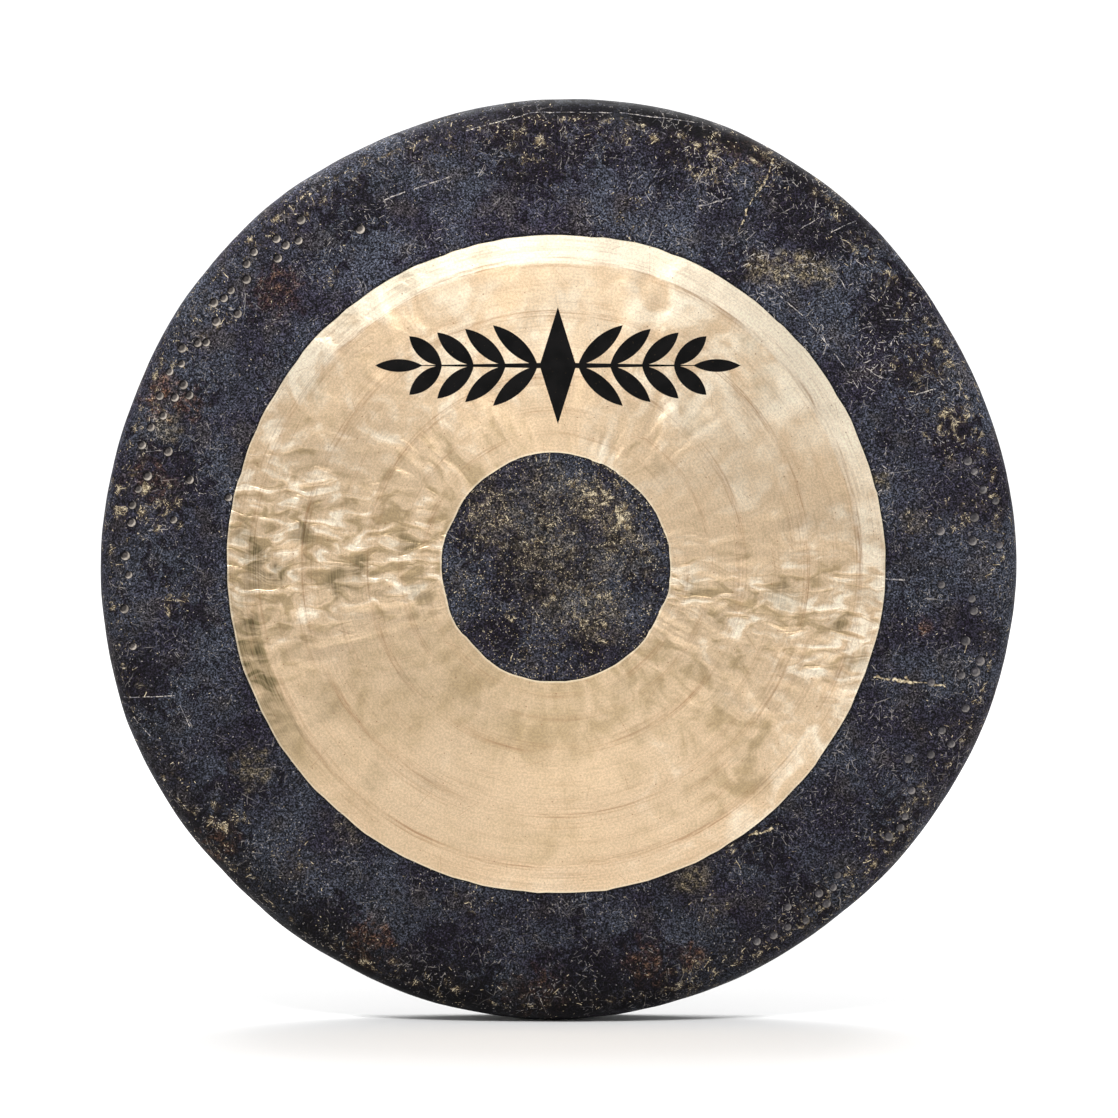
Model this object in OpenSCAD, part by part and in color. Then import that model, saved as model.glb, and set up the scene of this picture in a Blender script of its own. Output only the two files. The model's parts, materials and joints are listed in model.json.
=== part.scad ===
// Tam-tam gong: one hammered bronze plate whose edge is turned back into a rim.
// The plate keeps its dark forge scale on the outer ring, the centre and the back.
// Between the outer ring and the centre the scale is turned off, down to bright bronze.
// The gong hangs by a cord through the holes in the top of its rim. Millimetres, +Z up,
// the struck face looks along -Y, and the origin is the middle of the gong.

/* [Gong] */
// Overall diameter, at the widest part of the shoulder
gong_d = 660; // [560:1:820]
// Overall depth, from the struck face to the rear edge of the rim
gong_depth = 58; // [45:1:75]
// Thickness of the bronze plate
plate_t = 1.8; // [1.2:0.1:3]
// Outside radius of the turned shoulder
shoulder_r = 18; // [12:1:22]
// Angle by which the rim leans inwards, towards the back
rim_lean = 10; // [2:1:16]

/* [Forge scale] */
// Thickness of the forge scale
scale_t = 0.2; // [0.1:0.05:0.4]
// Diameter of the bright band, where the dark outer ring starts
band_d = 473; // [400:1:500]
// Sideways shift of the band from the gong's middle
band_shift_x = -1.7; // [-4:0.1:4]
// Upward shift of the band from the gong's middle
band_shift_z = -2; // [-4:0.1:4]
// Diameter of the dark centre
centre_d = 164; // [120:1:200]
// Sideways shift of the dark centre
centre_shift_x = -1.5; // [-6:0.1:6]
// Upward shift of the dark centre
centre_shift_z = -4.1; // [-6:0.1:6]

/* [Cord holes] */
// Diameter of a cord hole
hole_d = 9; // [6:0.5:12]
// Angle of each cord hole from the top of the rim
hole_angle = 16; // [8:1:30]
// Distance of the cord holes from the rear edge of the rim
hole_setback = 18; // [12:1:22]

/* [Printed mark] */
// Width of the printed ornament
mark_w = 262; // [180:1:270]
// Height of the ornament's middle above the gong's middle
mark_z = 141; // [135:1:150]
// Thickness of the ink
ink_t = 0.1; // [0.05:0.01:0.15]

/* [Hidden] */
$fn = 120;

bronze_colour = [0.86, 0.74, 0.56];
scale_colour = [0.17, 0.17, 0.19];
ink_colour = [0.02, 0.02, 0.02];

// Heights are along the gong's axis, and grow towards the player.
face_h = gong_depth / 2;
rear_h = -gong_depth / 2;
shoulder_c = gong_d / 2 - shoulder_r;
plate_front = scale_t;
plate_back = plate_front + plate_t;
skin_back = plate_back + scale_t;
hole_h = rear_h + hole_setback;
cut_clear = 20;
bend_steps = 12;
leaf_pairs = 4;
leaf_slant = 42;

// A half section's line along the surface that lies depth below the outside. It runs from
// the gong's axis over the face and round the shoulder to the rear edge of the rim.
function surface_line(depth) =
    let (r = shoulder_r - depth)
    let (rim_x = shoulder_c + r * cos(rim_lean))
    let (rim_h = face_h - shoulder_r - r * sin(rim_lean))
    concat(
        [[0, face_h - depth]],
        [for (i = [0:bend_steps]) let (a = 90 - i * (90 + rim_lean) / bend_steps)
            [shoulder_c + r * cos(a), face_h - shoulder_r + r * sin(a)]],
        [[rim_x - (rim_h - rear_h) * tan(rim_lean), rear_h]]
    );

// The points of a list, last to first.
function backwards(points) = [for (i = [len(points) - 1:-1:0]) points[i]];

// Stands a shape that was turned about Z upright, with its face along -Y.
module upright() {
    rotate([90, 0, 0]) children();
}

// The layer all round the gong, with the cord holes drilled through its rim.
module layer(from, to) {
    difference() {
        rotate_extrude() polygon(concat(surface_line(from), backwards(surface_line(to))));
        for (side = [-1, 1]) cord_hole(side);
    }
}

// A drill through the rim, square to the gong's axis.
module cord_hole(side) {
    rotate([0, 0, side * hole_angle])
        translate([0, gong_d / 2, hole_h])
            rotate([90, 0, 0]) cylinder(d = hole_d, h = 2 * cut_clear, center = true);
}

// A round tool that covers the thickness of the front scale.
module front_disc(d, shift_x, shift_z, overlap) {
    translate([shift_x, shift_z, face_h - scale_t - overlap])
        cylinder(d = d, h = scale_t + 2 * overlap);
}

module bronze_plate() {
    color(bronze_colour) upright() layer(plate_front, plate_back);
}

// The scale that the turning tool left on the outer ring, shoulder and rim.
module outer_scale() {
    color(scale_colour) upright() difference() {
        layer(0, plate_front);
        front_disc(band_d, band_shift_x, band_shift_z, 1);
    }
}

module centre_scale() {
    color(scale_colour) upright() front_disc(centre_d, centre_shift_x, centre_shift_z, 0);
}

module back_scale() {
    color(scale_colour) upright() layer(plate_back, skin_back);
}

// A four-sided blot of ink, centred on the origin.
module lozenge(width, height) {
    linear_extrude(ink_t)
        polygon([[0, height / 2], [width / 2, 0], [0, -height / 2], [-width / 2, 0]]);
}

// A leaf of ink that is pointed at both ends, and lies along +X from the origin.
module leaf(length, width) {
    r = (length * length + width * width) / (4 * width);
    linear_extrude(ink_t) translate([length / 2, 0]) intersection() {
        translate([0, r - width / 2]) circle(r = r);
        translate([0, width / 2 - r]) circle(r = r);
    }
}

// A plain symmetrical flourish: a lozenge between two branches of paired leaves.
module ornament() {
    unit = mark_w / 20;
    lozenge(2 * unit, 6.4 * unit);
    lozenge(17.2 * unit, 0.32 * unit);
    for (side = [0, 1]) mirror([side, 0, 0]) {
        translate([7.4 * unit, 0, 0]) leaf(2.6 * unit, 0.7 * unit);
        for (i = [0:leaf_pairs - 1], way = [-1, 1])
            translate([(1.1 + 1.75 * i) * unit, 0, 0])
                rotate(way * leaf_slant) leaf((3.3 - 0.3 * i) * unit, 0.9 * unit);
    }
}

module printed_mark() {
    color(ink_colour) upright()
        translate([0, mark_z, face_h - scale_t]) ornament();
}

bronze_plate();
outer_scale();
centre_scale();
back_scale();
printed_mark();
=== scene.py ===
"""The looks of the tam-tam gong: hammered bronze, forge scale, a lathed band and an inked mark.

Lengths are in millimetres until a mesh is made. The gong's axis is Y, its face looks along -Y,
and angles turn from +X towards +Z. A point of the wall is named by u and v, its place after
the wall is rolled out flat round the axis, so hypot(u, v) is s: the way from the axis over the
face, round the shoulder and along the rim.
"""

import json
import math

from collections import namedtuple

import bmesh
import bpy
import numpy as np
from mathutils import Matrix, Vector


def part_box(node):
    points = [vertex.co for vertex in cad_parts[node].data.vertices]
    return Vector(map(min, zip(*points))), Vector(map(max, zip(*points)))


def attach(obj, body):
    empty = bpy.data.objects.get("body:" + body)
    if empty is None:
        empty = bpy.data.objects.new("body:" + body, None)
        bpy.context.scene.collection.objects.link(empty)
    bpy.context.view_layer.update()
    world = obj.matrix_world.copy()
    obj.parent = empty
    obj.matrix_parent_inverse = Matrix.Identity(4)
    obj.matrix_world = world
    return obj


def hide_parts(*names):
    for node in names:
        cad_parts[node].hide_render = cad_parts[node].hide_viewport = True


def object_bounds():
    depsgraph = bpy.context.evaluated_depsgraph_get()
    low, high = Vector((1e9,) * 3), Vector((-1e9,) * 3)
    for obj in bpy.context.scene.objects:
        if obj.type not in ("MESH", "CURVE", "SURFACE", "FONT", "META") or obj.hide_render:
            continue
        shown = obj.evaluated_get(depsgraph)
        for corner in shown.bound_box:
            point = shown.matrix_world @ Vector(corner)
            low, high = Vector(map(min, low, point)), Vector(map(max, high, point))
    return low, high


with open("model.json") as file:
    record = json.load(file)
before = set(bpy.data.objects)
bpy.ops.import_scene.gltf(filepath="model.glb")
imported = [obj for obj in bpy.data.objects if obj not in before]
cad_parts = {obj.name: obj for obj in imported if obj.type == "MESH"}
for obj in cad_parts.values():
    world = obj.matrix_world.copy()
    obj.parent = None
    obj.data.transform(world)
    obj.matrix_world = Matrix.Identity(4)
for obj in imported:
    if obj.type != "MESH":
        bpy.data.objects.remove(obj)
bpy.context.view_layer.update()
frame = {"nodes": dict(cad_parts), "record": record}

TAU = 2 * math.pi


def in_mm(node):
    """A CAD node's lowest and highest corners, in millimetres."""
    return [[v * 1000 for v in corner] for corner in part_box(node)]


# ---------------------------------------------------------------- sizes, from the CAD frame

WHOLE = in_mm("outer_scale")
CENTRE = in_mm("centre_scale")
MARK = in_mm("printed_mark")
HOLES = [m for m in frame["record"]["mounts"] if m["kind"] == "bore"]

GONG_R = (WHOLE[1][0] - WHOLE[0][0]) / 2
FACE_Y = WHOLE[0][1]
REAR_Y = WHOLE[1][1]
CENTRE_R = (CENTRE[1][0] - CENTRE[0][0]) / 2
CENTRE_AT = ((CENTRE[1][0] + CENTRE[0][0]) / 2, (CENTRE[1][2] + CENTRE[0][2]) / 2)
# No box gives these, so they repeat the part's own parameters.
BAND_R = 236.5
BAND_AT = (-1.7, -2.0)
WALL = 2.2
SHOULDER_R = 18.0
LEAN = math.radians(10)

FLAT_END = GONG_R - SHOULDER_R
BEND = math.pi / 2 + LEAN
BEND_END = FLAT_END + SHOULDER_R * BEND
BEND_Y = FACE_Y + SHOULDER_R + SHOULDER_R * math.sin(LEAN)
RIM_END = BEND_END + (REAR_Y - BEND_Y) / math.cos(LEAN)
MIDDLE = WALL / 2
# How far the lathe's cut lies below the scale.
STEP = 0.3

# ---------------------------------------------------------------- the wall's shape


def waves(u, v, length, seed, count=40):
    """A smooth random surface with waves about this long. It stays within about -1 to 1."""
    rng = np.random.default_rng(seed)
    pace = TAU / (length * rng.uniform(0.7, 1.4, count))
    way = rng.uniform(0, TAU, count)
    start = rng.uniform(0, TAU, count)
    total = np.zeros(np.shape(u))
    for k, a, p in zip(pace, way, start):
        total += np.cos(k * (u * math.cos(a) + v * math.sin(a)) + p)
    return total / math.sqrt(count)


def harmonics(angle, terms):
    """A sum of waves round the circle: (how many, size, phase in degrees)."""
    return sum(size * np.cos(n * angle - math.radians(phase)) for n, size, phase in terms)


def rise(x, low, high):
    """0 below low, 1 above high, and smooth between."""
    t = np.clip((x - low) / (high - low), 0, 1)
    return t * t * (3 - 2 * t)


def bump(x, middle, half):
    """1 at the middle, falling smoothly to 0 at this distance from it."""
    return rise(half - np.abs(x - middle), 0, half)


def turned_to(angle, degrees):
    """The angle from this bearing, in degrees, between -180 and 180."""
    return (np.degrees(angle) - degrees + 180) % 360 - 180


# The waves of the hand-made outline.
OUTLINE = [(2, 2.0, 131), (3, 0.8, -92), (4, 1.2, -32), (5, 1.1, -43), (6, 0.5, 60)]


def outline_swell(angle):
    """How far the hand-made outline lies outside a true circle."""
    return harmonics(angle, OUTLINE)


def facets(angle, count, size, seed):
    """The straight chords that a hand-held tool leaves in a circle."""
    rng = np.random.default_rng(seed)
    at = np.sort((np.arange(count) + rng.uniform(-0.3, 0.3, count)) * TAU / count)
    reach = rng.uniform(-size, size, count)
    turn = np.mod(angle, TAU)
    at = np.concatenate([at, [at[0] + TAU]])
    reach = np.concatenate([reach, [reach[0]]])
    turn = np.where(turn < at[0], turn + TAU, turn)
    return np.interp(turn, at, reach)


def band_radius(angle):
    """The line where the lathe's cut meets the outer scale."""
    soft = harmonics(angle, [(2, 0.6, 152), (5, 0.4, -9), (10, 0.3, -62), (6, 0.25, 0)])
    return BAND_R + soft + facets(angle, 44, 0.5, 5) + facets(angle, 150, 0.5, 7)


def centre_radius(angle):
    """The line where the lathe's cut meets the scale of the centre."""
    soft = harmonics(angle, [(3, 0.35, -31), (4, 0.35, 14), (10, 0.25, -58)])
    return CENTRE_R + soft + facets(angle, 26, 0.6, 6) + facets(angle, 64, 0.4, 8)


# Marks of a round punch near the edge: (bearing in degrees, distance from the gong's axis).
LEFT_DENTS = [
    (175, 309), (174, 278), (172, 310), (170, 308), (168, 303), (167, 272), (169, 241), (164, 313),
    (162, 310), (164, 293), (160, 305), (157, 312), (157, 301), (155, 300), (154, 313), (156, 292),
    (152, 308), (150, 313), (149, 305), (148, 299), (145, 301), (143, 311), (142, 307), (142, 292),
    (140, 306), (138, 303), (136, 311), (134, 313), (133, 297), (131, 309), (131, 301), (129, 297),
    (127, 308), (121, 278), (179, 312), (182, 309), (186, 313), (191, 311),
]
RIGHT_DENTS = [
    (55, 272), (14, 304), (12, 306), (10, 310), (8, 317), (6, 300), (5, 275), (3, 298), (2, 317),
    (-3, 275), (-5, 298), (-7, 300), (-11, 298), (-13, 311), (-15, 310), (-16, 301), (-18, 282),
    (-20, 312), (-24, 302), (-25, 313), (-27, 303), (-29, 290), (-33, 305), (-36, 312), (-38, 314),
    (-40, 312), (-48, 305), (-50, 309), (-52, 306), (-52, 316), (-55, 316), (-56, 301), (-58, 313),
    (-60, 312), (-62, 310),
]
# Long shallow nicks in the band: (u, v, half length, half width, bearing of the length, depth).
NICKS = [
    (-82, -141, 17, 3.6, 84, 0.22), (-80, -75, 6, 2.6, 28, 0.25), (-58, -84, 9, 1.6, 45, 0.10),
    (-122, -58, 10, 3.0, 20, 0.12), (128, -175, 8, 3.5, 120, 0.18), (75, -98, 10, 3.0, 115, 0.10),
    (-190, -30, 7, 3.0, 20, 0.14), (-150, 112, 12, 4.0, 100, 0.12), (-128, 138, 10, 3.0, 30, 0.12),
    (118, -60, 12, 3.0, 10, 0.12), (150, -80, 10, 3.0, 150, 0.10), (-60, 82, 14, 3.5, 125, 0.10),
]


def dent_list(places, seed, depth):
    """Each punch mark as (u, v, radius, depth)."""
    rng = np.random.default_rng(seed)
    marks = []
    for bearing, distance in places:
        turn = math.radians(bearing + rng.uniform(-0.4, 0.4))
        s = distance + rng.uniform(-0.5, 0.5)
        radius = rng.uniform(2.7, 3.5)
        marks.append((s * math.cos(turn), s * math.sin(turn), radius, depth * rng.uniform(0.8, 1.2)))
    return marks


DENTS = dent_list(LEFT_DENTS, 11, 0.5) + dent_list(RIGHT_DENTS, 12, 0.35)


def dented(u, v):
    """How deep the punch marks are, with the small lip round each."""
    depth = np.zeros(u.shape)
    for cu, cv, r, deep in DENTS:
        d = np.hypot(u - cu, v - cv) / r
        depth += deep * np.where(d < 1, 1 - d * d, 0) - 0.10 * np.exp(-(((d - 1.15) / 0.18) ** 2))
    return depth


def punch_distance(u, v, shift=0.0):
    """The distance to the nearest punch mark's middle, in its radii, 3 at most.

    The shift moves the middles this share of the radius up and to the left.
    """
    nearest = np.full(u.shape, 3.0)
    for cu, cv, r, _ in DENTS:
        step = shift * r * math.sqrt(0.5)
        nearest = np.minimum(nearest, np.hypot(u - cu + step, v - cv - step) / r)
    return nearest


def painted_crescent_distance(u, v):
    """The same distance from a middle moved up and to the left: it places each punch mark's painted shade
    and painted highlight.
    """
    return punch_distance(u, v, 0.5)


def broad_hammer(u, v):
    """The wide unevenness of the forging, which both sides of the wall share."""
    return 0.45 * waves(u, v, 120, 1) + 0.10 * waves(u, v, 36, 2)


def hammered(u, v):
    """The unevenness of the seen side."""
    return broad_hammer(u, v) + 0.025 * waves(u, v, 14, 3)


def ripples(u, v, seed):
    """Hammer ripples that run outwards from the centre, in patches."""
    rng = np.random.default_rng(seed)
    angle = np.arctan2(v - CENTRE_AT[1], u - CENTRE_AT[0])
    r = np.hypot(u - CENTRE_AT[0], v - CENTRE_AT[1])
    total = np.zeros(u.shape)
    for _ in range(60):
        n = int(rng.integers(20, 100))
        pace = TAU / rng.uniform(45, 160) * rng.choice([-1, 1])
        total += np.cos(n * angle + pace * r + rng.uniform(0, TAU)) * 45 / n
    patchy = 0.35 + rise(waves(u, v, 70, seed + 1), -0.3, 1.0)
    return patchy * total / 8


def nicks(u, v):
    """How deep the long shallow nicks are."""
    depth = np.zeros(u.shape)
    for cu, cv, long, wide, bearing, deep in NICKS:
        turn = math.radians(bearing)
        a = (u - cu) * math.cos(turn) + (v - cv) * math.sin(turn)
        b = (v - cv) * math.cos(turn) - (u - cu) * math.sin(turn)
        depth += deep * np.exp(-((a / long) ** 4) - (b / wide) ** 2)
    return depth


def place(u, v, depth, lift=0.0):
    """The point of the wall at u, v that lies depth under its outside, in space."""
    s = np.hypot(u, v)
    angle = np.arctan2(v, u)
    bend = np.clip((s - FLAT_END) / SHOULDER_R, 0, BEND)
    along = np.maximum(s - BEND_END, 0)
    r = np.minimum(s, FLAT_END) + (SHOULDER_R - depth) * np.sin(bend) - along * math.sin(LEAN)
    y = FACE_Y + SHOULDER_R - (SHOULDER_R - depth) * np.cos(bend) + along * math.cos(LEAN)
    r = r + lift * np.sin(bend)
    y = y - lift * np.cos(bend)
    r = r * (1 + outline_swell(angle) / GONG_R * rise(s, 235, 315))
    return np.stack([r * np.cos(angle), y, r * np.sin(angle)], -1)


# ---------------------------------------------------------------- meshes

Side = namedtuple("Side", "u v points")


def side(u, v, depth, lift=0.0):
    """One side of a piece: rows of points at this depth in the wall."""
    return Side(u, v, place(u, v, depth, lift))


def reversed_side(given):
    """The same side with its columns the other way round, so that it faces the back."""
    return Side(given.u[:, ::-1], given.v[:, ::-1], given.points[:, ::-1])


def ring_grid(inner, outer, shares, count):
    """u and v of rows between two closed lines, each a function of the angle giving (u, v)."""
    angle = np.arange(count) * TAU / count
    iu, iv = inner(angle)
    ou, ov = outer(angle)
    t = np.asarray(shares, float)[:, None]
    return iu + (ou - iu) * t, iv + (ov - iv) * t


def circle(radius, at=(0, 0)):
    """A closed line round a point, whose radius is a number or a function of the angle."""
    def line(angle):
        r = radius(angle) if callable(radius) else radius
        return at[0] + r * np.cos(angle), at[1] + r * np.sin(angle)
    return line


def round_grid(radii, count):
    """u and v of rows that are circles round the axis."""
    return ring_grid(circle(0), circle(1), radii, count)


def corner_mean(x):
    """The mean of each cell's four corners. The last column meets the first."""
    rows = (x[:-1] + x[1:]) / 2
    return (rows + np.roll(rows, -1, 1)) / 2


def drill(u, v, holes):
    """Moves the grid's points beside each hole on to its edge. Returns which cells stay."""
    # The rim's radius level with the holes, which turns an angle into a length.
    girth = GONG_R - 3
    keep = np.ones((u.shape[0] - 1, u.shape[1]), bool)
    for bearing, along, radius in holes:
        def from_hole(at_u, at_v):
            turn = (np.arctan2(at_v, at_u) - bearing + math.pi) % TAU - math.pi
            return turn * girth, np.hypot(at_u, at_v) - along

        gone = np.hypot(*from_hole(corner_mean(u), corner_mean(v))) < radius
        keep &= ~gone
        touched = np.zeros(u.shape, int)
        for di, dj in ((0, 0), (1, 0), (0, 1), (1, 1)):
            touched[di:di + gone.shape[0]] += np.roll(gone, dj, 1)
        edge = (touched > 0) & (touched < 4)
        a, b = from_hole(u, v)
        pull = np.where(edge, radius / np.maximum(np.hypot(a, b), 1e-6), 1)
        angle = bearing + a * pull / girth
        s = along + b * pull
        u = s * np.cos(angle)
        v = s * np.sin(angle)
    return u, v, keep


def shell_mesh(name, top, under, keep=None, closed_middle=False, **fields):
    """A closed shell from the rows of its seen side and of its hidden side, in the same order.

    keep says which cells of the seen side stay round the holes. The hidden side then has the
    same rows, so that the holes go right through. Each field is a function of u and v, whose
    values the materials read.
    """
    n, m = top.u.shape
    k = under.u.shape[0]
    points = np.concatenate([top.points.reshape(-1, 3), under.points.reshape(-1, 3)])
    u = np.concatenate([top.u.ravel(), under.u.ravel()])
    v = np.concatenate([top.v.ravel(), under.v.ravel()])
    first = np.arange(n * m).reshape(n, m)
    second = n * m + np.arange(k * m).reshape(k, m)
    wrap = np.roll(np.arange(m), -1)

    def cells(grid, mask):
        onwards = np.roll(grid, -1, 1)
        return np.stack([grid[:-1], grid[1:], onwards[1:], onwards[:-1]], -1)[mask]

    kept = np.ones((n - 1, m), bool) if keep is None else keep
    kept_under = np.ones((k - 1, m), bool) if keep is None else keep
    faces = [cells(first, kept), cells(second, kept_under)[:, ::-1]]
    faces.append(np.stack([first[-1], second[-1], second[-1][wrap], first[-1][wrap]], -1))
    fans = []
    if closed_middle:
        points = np.concatenate([points, [top.points[0].mean(0), under.points[0].mean(0)]])
        u = np.append(u, [top.u[0].mean(), under.u[0].mean()])
        v = np.append(v, [top.v[0].mean(), under.v[0].mean()])
        hub = len(points) - 2
        fans = [(hub, first[0][j], first[0][wrap[j]]) for j in range(m)]
        fans += [(hub + 1, second[0][wrap[j]], second[0][j]) for j in range(m)]
    else:
        faces.append(np.stack([second[0], first[0], first[0][wrap], second[0][wrap]], -1))
    walls = []
    for i, j in zip(*np.nonzero(~kept)):
        j2 = wrap[j]
        a, b, c, d = first[i, j], first[i + 1, j], first[i + 1, j2], first[i, j2]
        p, q, r, t = second[i, j], second[i + 1, j], second[i + 1, j2], second[i, j2]
        if kept[i, j - 1]:
            walls.append((a, b, q, p))
        if kept[i, j2]:
            walls.append((c, d, t, r))
        if kept[i - 1, j]:
            walls.append((d, a, p, t))
        if kept[i + 1, j]:
            walls.append((b, c, r, q))
    mesh = bpy.data.meshes.new(name)
    mesh.from_pydata((points * 0.001).tolist(), [], np.concatenate(faces).tolist() + fans + walls)
    note_fields(mesh, u, v, fields)
    if walls:
        work = bmesh.new()
        work.from_mesh(mesh)
        bmesh.ops.delete(work, geom=[p for p in work.verts if not p.link_faces], context="VERTS")
        work.to_mesh(mesh)
        work.free()
    mesh.shade_smooth()
    mesh.set_sharp_from_angle(angle=math.radians(50))
    return mesh


def note_fields(mesh, u, v, fields):
    """Stores u, v and the fields' values on the mesh's points, for the materials."""
    flat = mesh.attributes.new("surf", "FLOAT_VECTOR", "POINT")
    flat.data.foreach_set("vector", np.stack([u, v, np.zeros_like(u)], -1).ravel())
    for name, field in fields.items():
        layer = mesh.attributes.new(name, "FLOAT", "POINT")
        layer.data.foreach_set("value", field(u, v).astype(float))


def add_piece(mesh, material, nodes):
    """Puts a mesh in the scene as a piece that rides on the gong and stands for CAD nodes."""
    piece = bpy.data.objects.new(mesh.name, mesh)
    bpy.context.collection.objects.link(piece)
    mesh.materials.append(material)
    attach(piece, "root")
    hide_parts(*nodes)
    return piece


# ---------------------------------------------------------------- materials


def srgb(r, g, b):
    """A colour given as it looks on a screen, 0 to 255, as the renderer's own values."""
    return tuple(((c / 255 + 0.055) / 1.055) ** 2.4 if c > 10 else c / 255 / 12.92 for c in (r, g, b))


class Paint:
    """A material, and short names for making its nodes. Textures lie on the rolled-out wall."""

    def __init__(self, name):
        self.material = bpy.data.materials.new(name)
        self.material.use_nodes = True
        self.tree = self.material.node_tree
        self.tree.nodes.clear()
        self.shader = self.tree.nodes.new("ShaderNodeBsdfPrincipled")
        out = self.tree.nodes.new("ShaderNodeOutputMaterial")
        self.tree.links.new(self.shader.outputs[0], out.inputs[0])
        self.at = self.node("ShaderNodeAttribute", attribute_name="surf").outputs["Vector"]

    def node(self, kind, **settings):
        """A new node of this kind, with its settings."""
        made = self.tree.nodes.new(kind)
        for key, value in settings.items():
            setattr(made, key, value)
        return made

    def put(self, socket, value):
        """Links a socket to another node's output, or sets it to a constant."""
        if isinstance(value, bpy.types.NodeSocket):
            self.tree.links.new(value, socket)
        elif value is not None:
            socket.default_value = value

    def math(self, kind, a, b=None, c=None):
        """A sum or other operation on one to three values."""
        made = self.node("ShaderNodeMath", operation=kind)
        for socket, value in zip(made.inputs, (a, b, c)):
            self.put(socket, value)
        return made.outputs[0]

    def vector(self, kind, a, b=None, scale=None):
        """An operation on one or two vectors, or on one and a scale."""
        made = self.node("ShaderNodeVectorMath", operation=kind)
        self.put(made.inputs[0], a)
        self.put(made.inputs[1], b)
        if scale is not None:
            self.put(made.inputs["Scale"], scale)
        return made.outputs["Value"] if kind in ("LENGTH", "DOT_PRODUCT", "DISTANCE") else made.outputs[0]

    def field(self, name):
        """One of the values stored on the mesh's points."""
        return self.node("ShaderNodeAttribute", attribute_name=name).outputs["Fac"]

    def ramp(self, x, low, high, bottom=0.0, top=1.0):
        """The bottom value where x is below low, the top one above high, and smooth between."""
        made = self.node("ShaderNodeMapRange", interpolation_type="SMOOTHSTEP")
        given = (("Value", x), ("From Min", low), ("From Max", high), ("To Min", bottom), ("To Max", top))
        for key, value in given:
            self.put(made.inputs[key], value)
        return made.outputs[0]

    def shifted(self, vector, seed):
        """A place moved far off, so that each seed gives its own random pattern."""
        return self.vector("ADD", vector, (seed * 37.3, seed * 91.7, seed * 13.9))

    def noise_node(self, size, detail, seed, vector=None, flat=True, rough=0.5, warp=0.0):
        made = self.node("ShaderNodeTexNoise", noise_dimensions="2D" if flat else "3D")
        self.put(made.inputs["Vector"], self.shifted(vector or self.at, seed))
        made.inputs["Scale"].default_value = 1 / size
        made.inputs["Detail"].default_value = detail
        made.inputs["Roughness"].default_value = rough
        made.inputs["Distortion"].default_value = warp
        return made

    def noise(self, size, detail=2.0, seed=0, **settings):
        """Random values from 0 to 1, mostly near 0.5, whose lumps are about this many millimetres."""
        return self.noise_node(size, detail, seed, **settings).outputs[0]

    def wobbled(self, size, by, seed):
        """The place on the wall, pushed about at random."""
        push = self.vector("SUBTRACT", self.noise_node(size, 2, seed).outputs["Color"], (0.5, 0.5, 0.5))
        return self.vector("ADD", self.at, self.vector("SCALE", push, scale=by * 2))

    def blend(self, share, a, b):
        """This share of colour b, and the rest of colour a."""
        made = self.node("ShaderNodeMix", data_type="RGBA")
        self.put(made.inputs[0], share)
        self.put(made.inputs[6], a if isinstance(a, bpy.types.NodeSocket) else (*a, 1))
        self.put(made.inputs[7], b if isinstance(b, bpy.types.NodeSocket) else (*b, 1))
        return made.outputs[2]

    def shade(self, colour, amount):
        """The colour times an amount."""
        return self.vector("SCALE", colour, scale=amount)

    def grains(self, size, seed):
        """A random value from 0 to 1 for each grain of about this size."""
        cells = self.node("ShaderNodeTexVoronoi", voronoi_dimensions="2D")
        self.put(cells.inputs["Vector"], self.shifted(self.at, seed))
        cells.inputs["Scale"].default_value = 1 / size
        parts = self.node("ShaderNodeSeparateColor")
        self.put(parts.inputs[0], cells.outputs["Color"])
        return parts.outputs[0]

    def threads(self, x, middle, wide):
        """The thin lines along which a random field passes through this value."""
        return self.ramp(self.math("ABSOLUTE", self.math("SUBTRACT", x, middle)), wide * 0.4, wide, 1.0, 0.0)

    def scatter(self, cell, long, wide, share, seed, bow=0.0):
        """Short marks at random places and angles, at most one in each cell of this size."""
        at = self.shifted(self.at, seed)
        if bow:
            push = self.noise_node(bow * 6, 1, seed).outputs["Color"]
            at = self.vector("ADD", at, self.vector("SCALE", push, scale=bow * 2))
        cells = self.node("ShaderNodeTexVoronoi", voronoi_dimensions="2D")
        self.put(cells.inputs["Vector"], at)
        cells.inputs["Scale"].default_value = 1 / cell
        away = self.vector("SUBTRACT", at, cells.outputs["Position"])
        parts = self.node("ShaderNodeSeparateColor")
        self.put(parts.inputs[0], cells.outputs["Color"])
        turn = self.node("ShaderNodeVectorRotate", rotation_type="Z_AXIS")
        self.put(turn.inputs["Vector"], away)
        self.put(turn.inputs["Angle"], self.math("MULTIPLY", parts.outputs[0], TAU))
        sides = self.node("ShaderNodeSeparateXYZ")
        self.put(sides.inputs[0], turn.outputs[0])
        reach = self.math("MULTIPLY_ADD", parts.outputs[1], long * 0.7, long * 0.3)
        over = self.math("SUBTRACT", reach, self.math("ABSOLUTE", sides.outputs[0]))
        in_width = self.ramp(self.math("ABSOLUTE", sides.outputs[1]), wide * 0.6, wide * 1.4, 1.0, 0.0)
        mark = self.math("MULTIPLY", self.ramp(over, 0.0, long * 0.15), in_width)
        return self.math("MULTIPLY", mark, self.math("LESS_THAN", parts.outputs[2], share))

    def stroke(self, at, start, end, wide):
        """A single mark from one place on the rolled-out wall to another."""
        run = (end[0] - start[0], end[1] - start[1], 0)
        from_start = self.vector("SUBTRACT", at, (*start, 0))
        share = self.math("DIVIDE", self.vector("DOT_PRODUCT", from_start, run), run[0] ** 2 + run[1] ** 2)
        share = self.math("MINIMUM", self.math("MAXIMUM", share, 0), 1)
        nearest = self.vector("SCALE", run, scale=share)
        return self.ramp(self.vector("DISTANCE", from_start, nearest), wide * 0.4, wide, 1.0, 0.0)

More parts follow.
